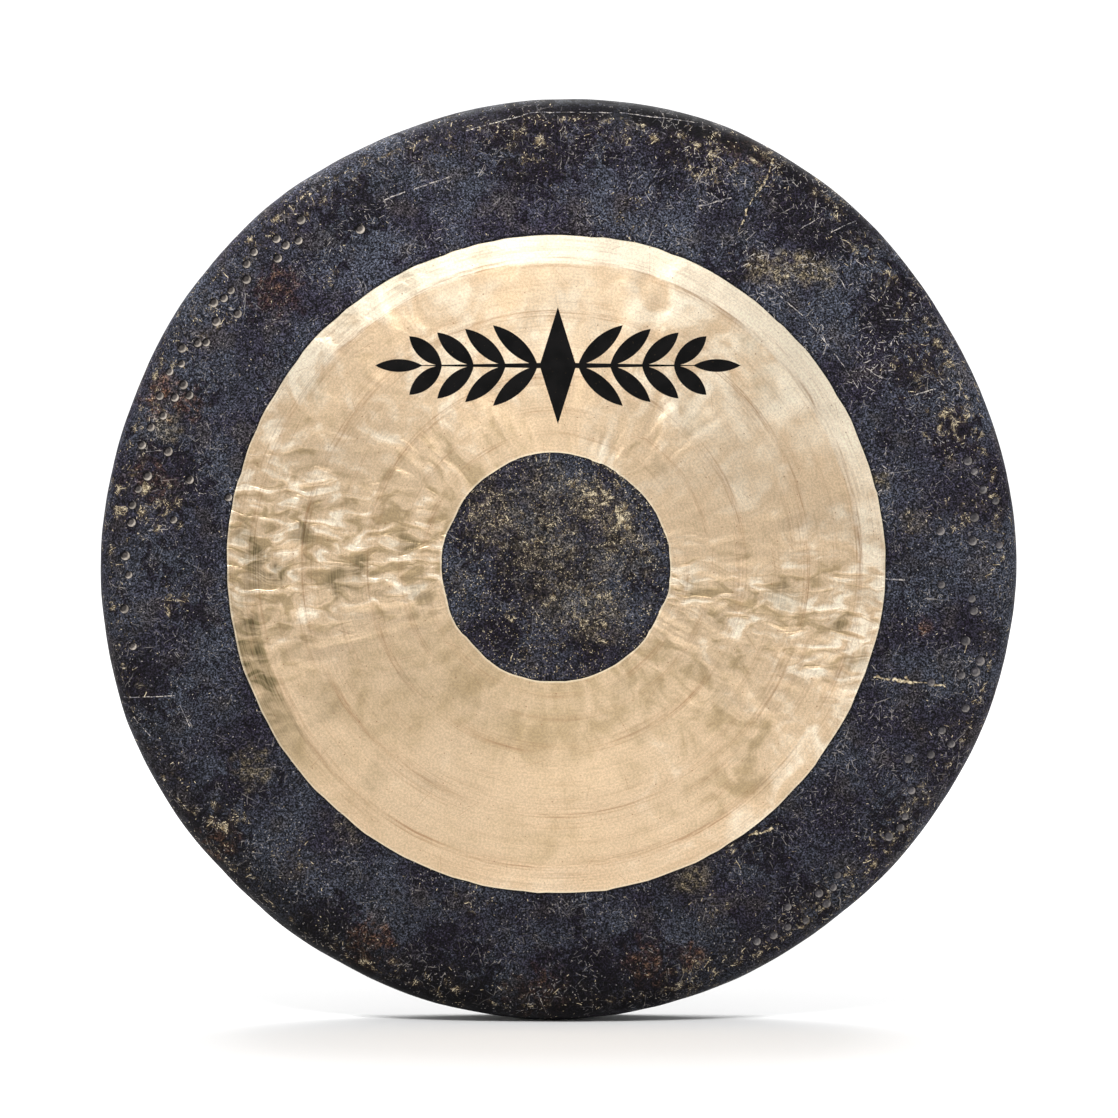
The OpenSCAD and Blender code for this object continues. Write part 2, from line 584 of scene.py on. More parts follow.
    def strokes(self, at, table):
        """The strongest of a table's marks at each point."""
        masks = [self.stroke(at, start, end, wide) for start, end, wide in table]
        total = masks[0]
        for mask in masks[1:]:
            total = self.math("MAXIMUM", total, mask)
        return total

    def finish(self, colour, roughness, height=None, metal=0.0, **fixed):
        """Links the looks to the shader, with the height in millimetres, and returns the material."""
        self.put(self.shader.inputs["Base Color"], colour)
        self.put(self.shader.inputs["Roughness"], roughness)
        self.put(self.shader.inputs["Metallic"], metal)
        for key, value in fixed.items():
            self.shader.inputs[key.replace("_", " ")].default_value = value
        if height is not None:
            made = self.node("ShaderNodeBump")
            made.inputs["Distance"].default_value = 0.001
            self.put(made.inputs["Height"], height)
            self.put(self.shader.inputs["Normal"], made.outputs[0])
        return self.material


# Long scratches: (start, end, width), each end a (u, v).
SCRATCHES = [
    ((-124, 260.5), (-110, 266), 0.55), ((-103, 268), (-77, 276.5), 0.55), ((-66, 309), (-17, 321), 0.45),
    ((-17, 321), (38, 319), 0.4), ((44, 319), (97, 312), 0.5), ((235, -12), (249, -13), 0.7),
    ((99, 253), (123, 259), 0.6), ((255, 120), (272, 125), 0.6), ((237, 175), (255, 175), 0.5),
    ((172, 237), (187, 246), 0.4), ((98, 269), (103, 278), 0.4), ((-313, -98), (-275, -96), 0.4),
    ((-271, -103), (-264, -118), 0.5), ((150, 199), (178, 174), 0.4), ((178, 174), (198, 151), 0.4),
    ((200, 148), (215, 125), 0.35), ((-309, -107), (-292, -125), 0.4), ((195, 236), (214, 245), 0.4),
]
# Cracked lines of bare bronze: (start, end, width).
CRACKS = [
    ((153, 286), (148, 272), 0.9), ((148, 272), (136, 254), 0.9), ((136, 254), (129, 236), 0.9),
    ((228, -83), (249, -86), 1.2), ((249, -86), (278, -89), 1.0), ((250, -83), (252, -86), 1.0),
    ((138, -197), (149, -194), 1.3), ((149, -194), (159, -189), 1.0),
]


def scale_colour(p, seed, patch, mottle, flaking_and_painted_shade):
    """Blue-black scale with brown, red and mustard patches, and near-black ones: flaked scale, and on the
    front's shoulder painted shade.
    """
    wide_patch = p.noise(60, 3, seed, rough=0.6)
    colour = p.blend(p.ramp(wide_patch, 0.35, 0.65), srgb(23, 21, 29), srgb(36, 38, 45))
    colour = p.blend(p.ramp(p.noise(24, 3, seed + 4), 0.52, 0.7, 0, 0.5), colour, srgb(39, 35, 34))
    colour = p.blend(p.ramp(flaking_and_painted_shade, 0.59, 0.68, 0, 0.85), colour, srgb(10, 7, 14))
    warm_share = p.math("MULTIPLY", p.field("warm"), p.ramp(patch, 0.38, 0.55))
    warm_colour = p.blend(p.ramp(mottle, 0.4, 0.6), srgb(37, 22, 21), srgb(66, 49, 38))
    colour = p.blend(warm_share, colour, warm_colour)
    olive_share = p.math("MULTIPLY", p.field("olive"), p.ramp(mottle, 0.38, 0.62, 0.15, 0.8))
    return p.blend(olive_share, colour, srgb(78, 70, 54))


def scale_scratches(p, seed):
    """Where the scale is scratched pale: three lengths of scratch, and specks."""
    scuffed = p.math("MULTIPLY", p.ramp(p.noise(30, 3, seed + 5, rough=0.6), 0.42, 0.6), p.field("scuff"))
    scratches = p.scatter(5, 2.6, 0.2, 0.8, seed + 6, bow=0.4)
    scratches = p.math("MAXIMUM", scratches, p.scatter(9, 5.0, 0.2, 0.7, seed + 7, bow=0.8))
    scratches = p.math("MAXIMUM", scratches, p.scatter(24, 11.0, 0.24, 0.6, seed + 8, bow=1.5))
    specks = p.scatter(2.2, 0.6, 0.25, p.math("MULTIPLY_ADD", scuffed, 0.2, 0.08), seed + 9)
    return p.math("MAXIMUM", p.math("MULTIPLY", scratches, scuffed), p.math("MULTIPLY", specks, 0.7))


def scale_worn(p, seed):
    """How worn the scale is, in clouds."""
    cloud = p.ramp(p.noise(9, 3, seed + 10, rough=0.7), 0.42, 0.62)
    return p.math("MULTIPLY", p.field("wear"), p.math("MULTIPLY_ADD", cloud, 0.9, 0.15))


def scale_flecks(p, seed, worn, flaking_and_painted_shade, speckled):
    """Where bare bronze shows as spots, torn edges, curls, dashes and dust, and the spots' halo."""
    spots = p.noise(1.3, 3, seed + 11, rough=0.8, warp=1.2)
    over = p.math("SUBTRACT", spots, p.math("MULTIPLY_ADD", worn, -0.22, 0.84))
    bare = p.ramp(over, 0.0, 0.035)
    halo = p.math("SUBTRACT", p.ramp(over, -0.08, -0.02), bare)
    torn = p.math("MULTIPLY", p.threads(flaking_and_painted_shade, 0.63, 0.02), p.ramp(worn, 0.1, 0.7))
    curls = p.threads(p.noise(3.4, 2, seed + 16, warp=1.2), 0.5, 0.045)
    curls = p.math("MULTIPLY", curls, p.ramp(worn, 0.3, 1.0))
    curls = p.math("MULTIPLY", curls, p.ramp(p.noise(6, 2, seed + 17), 0.52, 0.62))
    dashes = p.scatter(1.9, 1.0, 0.2, p.math("MULTIPLY_ADD", worn, 0.35, 0.004), seed + 12, bow=0.3)
    chains = p.scatter(6, 4.0, 0.22, p.math("MULTIPLY", worn, 0.6), seed + 15, bow=0.6)
    dust_share = p.math("MULTIPLY_ADD", worn, 0.55 * speckled, 0.10 * speckled)
    dust = p.scatter(1.5, 0.55, 0.22, dust_share, seed + 19)
    for marks in (torn, curls, dashes, chains, dust):
        bare = p.math("MAXIMUM", bare, marks)
    return bare, halo


def punched(p, seed, colour, bare, height, roughness, grains):
    """The same looks with the punch marks: a smooth hollow, a dark ring, and in each hollow a painted shade
    crescent at the upper left and a painted highlight crescent at the lower right.
    """
    away = p.field("punch")
    painted_crescent = p.field("painted_crescent")
    inside = p.ramp(away, 0.90, 1.06, 1.0, 0.0)
    sides = p.node("ShaderNodeSeparateXYZ")
    p.put(sides.inputs[0], p.at)
    right = p.ramp(sides.outputs[0], -20, 20)
    hollow = p.blend(right, srgb(72, 67, 65), srgb(78, 75, 77))
    # Painted shade: a dark crescent on the upper left of each punch mark's hollow.
    shaded = p.math("MULTIPLY", p.ramp(painted_crescent, 0.55, 0.95, 1.0, 0.0), p.ramp(away, 0.45, 0.75))
    hollow = p.blend(shaded, hollow, p.blend(right, srgb(9, 7, 11), srgb(46, 44, 49)))
    # Painted highlight: a pale crescent on the lower right of each hollow.
    lit = p.blend(right, srgb(158, 149, 139), srgb(116, 111, 108))
    hollow = p.blend(p.ramp(painted_crescent, 0.75, 1.2), hollow, lit)
    hollow = p.shade(hollow, p.ramp(grains, 0.0, 1.0, 0.75, 1.2))
    hollow = p.shade(hollow, p.ramp(p.noise(11, 2, seed + 20), 0.35, 0.65, 0.6, 1.1))
    colour = p.blend(inside, colour, hollow)
    colour = p.shade(colour, p.math("MULTIPLY_ADD", p.threads(away, 1.08, 0.14), -0.5, 1.0))
    bare = p.math("MULTIPLY", bare, p.math("SUBTRACT", 1.0, inside))
    height = p.math("MULTIPLY", height, p.math("MULTIPLY_ADD", inside, -0.85, 1.0))
    height = p.math("MULTIPLY_ADD", inside, -0.2, height)
    roughness = p.math("MULTIPLY_ADD", inside, -0.12, roughness)
    return colour, bare, height, roughness


def scale_material(name, seed, speckled=0.0, struck=False):
    """Forge scale: mottled blue-black and grainy, scratched, and flecked with bare bronze.

    Only the struck face has the long scratches, the cracks and the punch marks.
    """
    p = Paint(name)
    patch = p.noise(13, 5, seed + 1, rough=0.72, warp=0.8)
    mottle = p.noise(5, 3, seed + 2, rough=0.7)
    grain = p.noise(1.35, 1, seed + 3, rough=0.8)
    grains = p.grains(1.0, seed + 18)
    # On the front, the dark field adds painted shade on the shoulder to the flaking.
    flaking_and_painted_shade = p.math("MULTIPLY_ADD", p.field("dark"), 0.24, patch)

    colour = scale_colour(p, seed, patch, mottle, flaking_and_painted_shade)
    colour = p.shade(colour, p.ramp(mottle, 0.3, 0.7, 0.7, 1.3))
    colour = p.shade(colour, p.ramp(grain, 0.36, 0.64, 0.22, 1.98))
    colour = p.shade(colour, p.ramp(grains, 0.0, 1.0, 0.2, 2.25))
    # On the front the tone field is partly painted light and shade: a lighter top, and a darker shoulder at
    # the top and the bottom left.
    colour = p.shade(colour, p.field("tone"))

    pale = scale_scratches(p, seed)
    worn = scale_worn(p, seed)
    bare, halo = scale_flecks(p, seed, worn, flaking_and_painted_shade, speckled)
    if struck:
        lines = p.strokes(p.wobbled(9, 0.8, seed + 13), SCRATCHES)
        pale = p.math("MAXIMUM", pale, p.math("MULTIPLY", lines, p.ramp(grain, 0.3, 0.5)))
        cracks = p.strokes(p.wobbled(5, 2.4, seed + 14), CRACKS)
        bare = p.math("MAXIMUM", bare, p.math("MULTIPLY", cracks, p.ramp(grain, 0.3, 0.42)))
    colour = p.shade(colour, p.math("MULTIPLY_ADD", halo, -0.6, 1.0))
    dusty = p.shade(srgb(62, 52, 44), p.ramp(grains, 0.0, 1.0, 0.5, 1.5))
    colour = p.blend(p.math("MULTIPLY", worn, 0.3), colour, dusty)
    pale_colour = p.blend(p.ramp(mottle, 0.4, 0.6), srgb(104, 102, 108), srgb(180, 172, 164))
    colour = p.blend(pale, colour, pale_colour)

    height = p.math("MULTIPLY_ADD", grain, 0.08, p.math("MULTIPLY", mottle, 0.15))
    height = p.math("MULTIPLY_ADD", patch, 0.25, height)
    height = p.math("MULTIPLY_ADD", bare, -0.08, height)
    height = p.math("MULTIPLY_ADD", pale, -0.05, height)
    roughness = p.math("MULTIPLY_ADD", bare, -0.15, p.ramp(patch, 0.3, 0.7, 0.55, 0.72))
    if struck:
        colour, bare, height, roughness = punched(p, seed, colour, bare, height, roughness, grains)
    bare_colour = p.blend(p.ramp(mottle, 0.35, 0.65), srgb(108, 92, 68), srgb(214, 199, 168))
    colour = p.blend(bare, colour, bare_colour)
    return p.finish(colour, roughness, height, p.math("MULTIPLY", bare, 0.35), Specular_IOR_Level=0.1)


def bronze_material():
    """Bronze off the lathe: fine rings, a little tarnish, and painted light and shade over the hammering."""
    p = Paint("turned_bronze")
    around = p.vector("SUBTRACT", p.at, (*CENTRE_AT, 0))
    r = p.vector("LENGTH", around)
    axes = p.node("ShaderNodeSeparateXYZ")
    p.put(axes.inputs[0], p.vector("NORMALIZE", around))

    def polar(radial, turning):
        """A place that moves 1 for this many millimetres outwards or this share of a radian round."""
        made = p.node("ShaderNodeCombineXYZ")
        p.put(made.inputs[0], p.math("DIVIDE", r, radial))
        p.put(made.inputs[1], p.math("DIVIDE", axes.outputs[0], turning))
        p.put(made.inputs[2], p.math("DIVIDE", axes.outputs[1], turning))
        return made.outputs[0]

    lathe = p.noise(1, 2, 21, vector=polar(1.0, 0.5), flat=False, rough=0.6)
    rings = p.noise(1, 2, 22, vector=polar(5.0, 1.2), flat=False)
    radial = p.noise(1, 3, 23, vector=polar(30, 0.15), flat=False, rough=0.5, warp=1.2)
    cloudy = p.noise(60, 3, 25, rough=0.5, warp=0.4)
    mottle = p.noise(12, 3, 26, rough=0.6)
    grain = p.noise(1.6, 2, 27, rough=0.8)

    crumpled = p.field("crumple")
    across = p.vector("MULTIPLY", p.wobbled(40, 7, 30), (0.4, 1, 1))
    streaks = p.noise(9, 4, 31, vector=across, rough=0.5, warp=0.7)
    # Painted light and shade of the hammered relief: the colour follows the ripples and streaks that the
    # bump uses.
    painted_relief_light = p.math("MULTIPLY_ADD", p.math("SUBTRACT", mottle, 0.5), 0.3, p.math("SUBTRACT", radial, 0.5))
    painted_relief_light = p.math("MULTIPLY_ADD", p.math("SUBTRACT", streaks, 0.5), p.field("wedge"), painted_relief_light)
    tone = p.math("MULTIPLY_ADD", p.math("SUBTRACT", cloudy, 0.5), 0.5, p.math("MULTIPLY", painted_relief_light, crumpled))
    # Painted sheen and painted shade by where on the band a point lies.
    tone = p.math("ADD", tone, p.field("painted_sheen"))
    # From a painted shade colour up to a painted highlight cream.
    colour = p.blend(p.ramp(tone, -0.4, 0.0), srgb(178, 155, 120), srgb(217, 191, 158))
    colour = p.blend(p.ramp(tone, 0.0, 0.45), colour, srgb(252, 237, 212))
    colour = p.shade(colour, p.ramp(lathe, 0.3, 0.7, 0.95, 1.04))
    colour = p.shade(colour, p.ramp(rings, 0.3, 0.7, 0.985, 1.01))
    colour = p.shade(colour, p.ramp(grain, 0.35, 0.65, 0.88, 1.10))

    colour = p.blend(p.math("MULTIPLY", p.field("groove"), p.ramp(lathe, 0.35, 0.6, 0.9, 0.25)), colour,
                     srgb(160, 120, 84))
    # Grey-green painted shade.
    strip = p.math("MULTIPLY", p.field("painted_grey_shade"), p.ramp(streaks, 0.40, 0.56, 1.0, 0.5))
    colour = p.blend(strip, colour, p.blend(p.ramp(lathe, 0.35, 0.6), srgb(92, 81, 58), srgb(140, 124, 92)))
    # Painted highlight along both edges of the band.
    colour = p.blend(p.field("painted_edge_highlight"), colour, srgb(255, 242, 214))
    pits = p.scatter(11, 0.5, 0.45, 0.30, 28)
    hairs = p.math("MULTIPLY", p.scatter(30, 12, 0.22, 0.4, 29), 0.35)
    colour = p.blend(p.math("MULTIPLY", pits, 0.6), colour, srgb(128, 74, 48))
    colour = p.blend(hairs, colour, srgb(160, 118, 88))

    height = p.math("MULTIPLY", lathe, 0.04)
    height = p.math("MULTIPLY_ADD", rings, 0.03, height)
    height = p.math("MULTIPLY_ADD", p.math("MULTIPLY", radial, crumpled), 0.9, height)
    height = p.math("MULTIPLY_ADD", p.math("MULTIPLY", mottle, crumpled), 0.15, height)
    height = p.math("MULTIPLY_ADD", streaks, p.math("MULTIPLY", p.field("wedge"), 0.5), height)
    height = p.math("MULTIPLY_ADD", grain, 0.025, height)
    tangent = p.node("ShaderNodeTangent", direction_type="RADIAL", axis="Y")
    p.put(p.shader.inputs["Tangent"], tangent.outputs[0])
    return p.finish(colour, p.ramp(cloudy, 0.3, 0.7, 0.46, 0.38), height, 1.0,
                    Anisotropic=0.42, Anisotropic_Rotation=0.25)


def edge_material():
    """The cut rear edge of the rim: tarnished bronze."""
    p = Paint("cut_bronze_edge")
    patch = p.noise(12, 3, 31, rough=0.6)
    fine = p.noise(1.5, 3, 32, rough=0.7)
    colour = p.blend(p.ramp(patch, 0.35, 0.65), srgb(96, 74, 46), srgb(176, 142, 92))
    colour = p.shade(colour, p.ramp(fine, 0.3, 0.7, 0.7, 1.2))
    return p.finish(colour, p.ramp(patch, 0.3, 0.7, 0.55, 0.35), p.math("MULTIPLY", fine, 0.08), 1.0)


def ink_material():
    """Flat black screen ink, worn thin in specks."""
    p = Paint("screen_ink")
    worn = p.ramp(p.noise(2.2, 3, 41, rough=0.7), 0.70, 0.76)
    cloudy = p.noise(14, 2, 42)
    colour = p.blend(p.ramp(cloudy, 0.3, 0.7), srgb(3, 3, 3), srgb(10, 9, 9))
    colour = p.blend(p.math("MULTIPLY", worn, 0.4), colour, srgb(90, 74, 54))
    return p.finish(colour, p.ramp(cloudy, 0.3, 0.7, 0.5, 0.62), p.math("MULTIPLY", worn, -0.05),
                    Specular_IOR_Level=0.08)


# ---------------------------------------------------------------- where the scale is worn or stained

# Worn stretches of the shoulder: (bearing, half its width in degrees, strength).
WORN_EDGE = [
    (172, 12, 0.9), (150, 24, 0.9), (125, 22, 0.9), (102, 14, 0.9), (82, 16, 0.9), (64, 10, 0.6),
    (44, 14, 0.7), (26, 14, 1.0), (6, 14, 0.9), (-22, 18, 0.7), (-45, 22, 1.0), (-66, 14, 0.8),
    (-92, 16, 0.5), (-118, 16, 0.6), (-145, 16, 0.6), (-168, 14, 0.6),
]
# Worn patches elsewhere: (u, v, radius, strength).
WORN_PATCHES = [
    (163, 206, 14, 0.35), (205, 40, 14, 0.25), (255, 28, 10, 0.5), (-20, 300, 22, 0.6),
    (290, 35, 14, 0.7), (-292, 40, 18, 0.9), (-190, -215, 14, 0.5), (110, -250, 14, 0.4),
    (128, -210, 10, 0.4), (-60, -240, 12, 0.3), (-276, -28, 10, 0.7), (-238, -186, 12, 0.9),
    (110, 288, 20, 0.9), (200, 268, 22, 0.6), (-250, 178, 16, 0.5), (285, 100, 18, 0.9),
    (258, 140, 18, 0.5), (-292, 110, 12, 0.7), (52, 246, 14, 0.35), (152, 292, 12, 0.7),
    (-150, 280, 14, 0.4), (-165, 205, 8, 0.4), (210, -245, 14, 0.4), (-80, -306, 14, 0.6),
    (98, -300, 16, 0.7),
]
# Brown and red patches.
WARM_PATCHES = [
    (-286, 118, 15, 1.0), (-264, 112, 9, 0.6), (-246, -204, 14, 0.8), (-134, -276, 18, 0.9),
    (64, -290, 14, 0.6), (262, -46, 6, 0.9), (-202, 196, 18, 0.35), (98, -284, 8, 0.9),
    (-292, 60, 16, 0.3), (140, 292, 16, 0.3), (-16, -312, 20, 0.4),
]
# Soft mustard-coloured patches.
OLIVE_PATCHES = [
    (146, 211, 10, 0.8), (160, 209, 10, 0.9), (176, 210, 10, 1.0), (190, 207, 9, 0.8), (98, -229, 11, 0.8),
    (-219, -148, 12, 0.7), (231, 58, 7, 0.8), (255, 30, 8, 0.4), (-282, 98, 10, 0.6), (-150, -190, 12, 0.3),
]
# Near-black blotches, where more of the scale has flaked.
DARK_PATCHES = [
    (-149, 253, 24, 0.9), (-17, 296, 32, 1.0), (20, 298, 22, 0.7), (-205, 192, 20, 0.7),
    (-279, 61, 26, 0.9), (93, 287, 26, 0.7), (172, 251, 24, 1.0), (200, 234, 22, 0.9),
    (127, 212, 16, 0.8), (238, 184, 26, 0.9), (258, 142, 24, 0.8), (287, 93, 18, 0.8),
    (-262, -32, 16, 0.8), (-230, -164, 22, 0.9), (-246, -196, 22, 1.0), (-77, -298, 34, 1.0),
    (151, -207, 17, 1.1), (65, -290, 28, 0.9), (14, -304, 32, 1.0), (246, -187, 24, 0.7),
    (-160, -262, 24, 0.9), (-290, -90, 24, 0.8), (180, -246, 22, 0.6), (-284, 0, 16, 0.7),
    (-258, 120, 14, 0.6),
]
# The same for the centre's disc.
CENTRE_WORN = [
    (26, 46, 15, 1.3), (44, 30, 12, 1.7), (12, 50, 12, 0.9), (-34, -38, 4, 1.8), (26, -34, 20, 0.6),
    (-10, 14, 22, 0.4), (-45, 32, 20, 0.6), (-8, -58, 20, 0.25), (60, 12, 10, 0.5), (-64, -15, 14, 0.3),
    (36, 6, 10, 0.6), (0, -28, 12, 0.4),
]
CENTRE_OLIVE = [
    (20, 44, 16, 0.5), (42, 26, 14, 0.55), (34, 2, 16, 0.35), (28, -36, 20, 0.45),
    (-10, 14, 26, 0.4), (-44, 34, 20, 0.4),
    (0, -24, 22, 0.35), (58, 4, 14, 0.3), (-10, 56, 16, 0.35),
]
CENTRE_DARK = [
    (-26, -8, 24, 1.0), (10, -8, 16, 0.9), (20, -58, 16, 0.8), (-40, -52, 18, 0.8), (62, -10, 14, 0.8),
    (-12, 34, 10, 0.7), (40, 14, 7, 1.0), (-60, 10, 12, 0.7),
]
# How densely the scale is scratched: (bearing, half its width in degrees, strength).
SCUFFED = [
    (46, 48, 1.0), (120, 40, 0.5), (-30, 40, 0.5), (-90, 50, 0.35), (-150, 50, 0.35), (170, 40, 0.45),
]


def patches(u, v, table):
    """The strongest of a table's soft patches at each point, with ragged edges."""
    ragged = 0.25 * waves(u, v, 12, 55)
    total = np.zeros(u.shape)
    for pu, pv, radius, strength in table:
        total = np.maximum(total, strength * rise(1.5 + ragged - np.hypot(u - pu, v - pv) / radius, 0, 1))
    return total


def stretches(u, v, table):
    """The strongest of a table's stretches round the gong at each point."""
    angle = np.arctan2(v, u)
    total = np.zeros(u.shape)
    for bearing, half, strength in table:
        total = np.maximum(total, strength * bump(turned_to(angle, bearing), 0, half * 1.6))
    return total


def beyond_ridge(u, v):
    """The distance outside the line where the shoulder starts to fall away, and wears most."""
    angle = np.arctan2(v, u)
    line = 319.5 + harmonics(angle, [(1, 2.6, 215), (2, 1.8, 0), (3, 0.8, 40)])
    return np.hypot(u, v) - line - 0.7 * waves(u, v, 30, 51)


def edge_wear(u, v):
    """How worn the front is: along the ridge of the shoulder, beyond it and in patches."""
    off = beyond_ridge(u, v)
    line = np.exp(-((off / 2.2) ** 2)) + 0.5 * np.exp(-(((off + 8) / 9) ** 2))
    line += 0.35 * rise(off, 4, 8) * (1 - np.maximum(*shaded_stretches(np.arctan2(v, u))))
    worn = np.maximum(stretches(u, v, WORN_EDGE) * line, patches(u, v, WORN_PATCHES))
    return np.clip(0.9 * worn * (0.9 + 0.8 * waves(u, v, 14, 52)), 0, 2)


def scuff(u, v):
    """How densely the front is scratched."""
    return np.clip(stretches(u, v, SCUFFED) * (0.8 + 0.4 * waves(u, v, 40, 56)) + 0.1, 0.2, 1)


def shaded_stretches(angle):
    """Where the shoulder gets painted shade: at the top, and more widely at the bottom left."""
    return bump(turned_to(angle, 74), 0, 54), bump(turned_to(angle, -112), 0, 90)


def ring_tone_and_painted_light(u, v):
    """Painted light and shade on the front's scale: lighter towards the top and upper left and darker
    towards the bottom, painted shade on two stretches of the shoulder and a paler, painted-light shoulder on
    its other stretches, and darker beside the band.
    """
    angle = np.arctan2(v, u)
    # Painted light: lighter towards the top and darker towards the bottom, and lighter at the upper left of
    # the inner ring.
    tone = 1.10 + 0.17 * np.cos(angle - math.radians(85)) + 0.10 * waves(u, v, 60, 53)
    tone += 0.26 * bump(turned_to(angle, 110), 0, 70) * (1 - rise(np.hypot(u, v), 255, 300))
    off = beyond_ridge(u, v)
    at_top, low = shaded_stretches(angle)
    # Painted shade: the top of the shoulder, and more widely the bottom left.
    tone *= 1 - 0.75 * at_top * rise(off, -1, 3)
    tone *= 1 - 0.7 * low * rise(off, -34, -6)
    # Painted light: the shoulder beyond its ridge made paler on the other stretches.
    tone *= 1 + 0.6 * (1 - at_top) * (1 - low) * rise(off, 2, 10)
    gap = np.hypot(u - BAND_AT[0], v - BAND_AT[1]) - band_radius(angle)
    return np.clip(tone * (0.25 + 0.75 * rise(gap, 0.4, 2.2)), 0.1, 2)


def dark(u, v):
    """How near-black the scale is: blotches, and painted shade on the darkest stretches of the shoulder."""
    at_top, low = shaded_stretches(np.arctan2(v, u))
    # Painted shade: the shoulder made near-black at the top and the bottom left.
    shoulder = 0.6 * rise(beyond_ridge(u, v), -4, 2) * np.maximum(at_top, low)
    return np.clip(patches(u, v, DARK_PATCHES) + shoulder, 0, 1.2)


def warm(u, v):
    """How brown or red the front is."""
    return np.clip(patches(u, v, WARM_PATCHES) * (0.9 + 0.4 * waves(u, v, 10, 54)), 0, 1)


def olive(u, v):
    """How mustard-coloured the front is."""
    return np.clip(patches(u, v, OLIVE_PATCHES), 0, 1)


def centre_tone(u, v):
    """Darker along the edge of the centre's disc."""
    bu, bv = u - CENTRE_AT[0], v - CENTRE_AT[1]
    gap = centre_radius(np.arctan2(bv, bu)) - np.hypot(bu, bv)
    tone = 1.05 + 0.12 * waves(u, v, 26, 82)
    return np.clip(tone * (0.35 + 0.65 * rise(gap, 0.3, 1.8)), 0.1, 2)


def centre_wear(u, v):
    """Worn patches, and a bright sliver along the upper right of the disc's edge."""
    angle = np.arctan2(v - CENTRE_AT[1], u - CENTRE_AT[0])
    gap = centre_radius(angle) - np.hypot(u - CENTRE_AT[0], v - CENTRE_AT[1])
    sliver = np.exp(-(((gap - 1.5) / 1.0) ** 2)) * bump(turned_to(angle, 52), 0, 26)
    worn = patches(u, v, CENTRE_WORN) * (0.9 + 0.4 * waves(u, v, 12, 83))
    return np.clip(np.maximum(worn, 1.6 * sliver), 0.12, 2)


def even(value):
    """A field that is the same everywhere."""
    return lambda u, v: np.full(u.shape, float(value))


# ---------------------------------------------------------------- the pieces

ROUND = 1200
RING_SEAM = 284.0
SHOULDER_SEAM = 322.0
LINING_START = 300.0
FRONT_FIELDS = dict(wear=edge_wear, warm=warm, olive=olive, dark=dark, tone=ring_tone_and_painted_light, scuff=scuff,
                    punch=punch_distance, painted_crescent=painted_crescent_distance)


def face_lift(u, v):
    """The relief of the front's scale."""
    return hammered(u, v) - dented(u, v)


def hidden(inner, outer, rows, count):
    """The side of a face piece that lies unseen inside the wall."""
    u, v = ring_grid(inner, outer, rows, count)
    return side(u, v, MIDDLE, broad_hammer(u, v))


def make_ring():
    """The scale beside the turned band."""
    inner = circle(band_radius, BAND_AT)
    seam = circle(RING_SEAM)
    u, v = ring_grid(inner, seam, np.append(0.0, np.linspace(0.01, 1, 56)), ROUND)
    lift = face_lift(u, v)
    lift[0] -= STEP
    lift[1] -= 0.08
    under = hidden(inner, seam, np.linspace(0, 1, 6), ROUND)
    return shell_mesh("ring_scale", side(u, v, 0.0, lift), under, **FRONT_FIELDS)


def make_shoulder():
    """The scale out to the top of the shoulder, with the punch marks."""
    u, v = round_grid(np.linspace(RING_SEAM, SHOULDER_SEAM, 60), 2 * ROUND)
    under_u, under_v = round_grid(np.linspace(RING_SEAM, SHOULDER_SEAM, 6), 2 * ROUND)
    under = side(under_u, under_v, MIDDLE, broad_hammer(under_u, under_v))
    return shell_mesh("shoulder_scale", side(u, v, 0.0, face_lift(u, v)), under, **FRONT_FIELDS)


def hole_places():
    """Each cord hole as (its bearing, its distance along the wall, its radius)."""
    found = []
    for mount in HOLES:
        x, y, z = (c * 1000 for c in mount["pos_m"])
        along = BEND_END + (y - BEND_Y) / math.cos(LEAN)
        found.append((math.atan2(z, x), along, mount["dims"]["r_mm"]))
    return found


def drilled_rows(start, rows):
    """A grid from this distance to the rear edge, with the cord holes, and how near the edge it is."""
    u, v = round_grid(np.linspace(start, RIM_END, rows), ROUND)
    u, v, keep = drill(u, v, hole_places())
    return u, v, keep, rise(np.hypot(u, v), RIM_END - 12, RIM_END - 11)


def make_rim():
    """The scale round the shoulder and on the outside of the rim."""
    u, v, keep, near_edge = drilled_rows(SHOULDER_SEAM, 42)
    under = side(u, v, MIDDLE + (0.2 - MIDDLE) * near_edge, broad_hammer(u, v))
    return shell_mesh("rim_scale", side(u, v, 0.0, face_lift(u, v)), under, keep, **FRONT_FIELDS)


def make_lining():
    """The scale on the inside of the rim and the shoulder."""
    u, v, keep, near_edge = drilled_rows(LINING_START, 46)
    top = reversed_side(side(u, v, WALL, hammered(u, v)))
    under = side(u, v, MIDDLE + (WALL - 0.2 - MIDDLE) * near_edge, broad_hammer(u, v))
    keep = np.roll(keep[:, ::-1], -1, 1)
    return shell_mesh("rim_lining", top, reversed_side(under), keep, **back_fields())


def back_fields():
    """The looks of the back, which has no punch marks and is scratched evenly."""
    return dict(
        wear=lambda u, v: 0.1 + 0.2 * waves(u, v, 50, 63),
        warm=lambda u, v: 0.15 + 0.3 * waves(u, v, 40, 65),
        olive=lambda u, v: 0.1 + 0.2 * waves(u, v, 50, 66),
        dark=lambda u, v: 0.2 + 0.4 * waves(u, v, 60, 67),
        tone=lambda u, v: 1.0 + 0.2 * waves(u, v, 60, 64),
        scuff=even(0.5),
    )


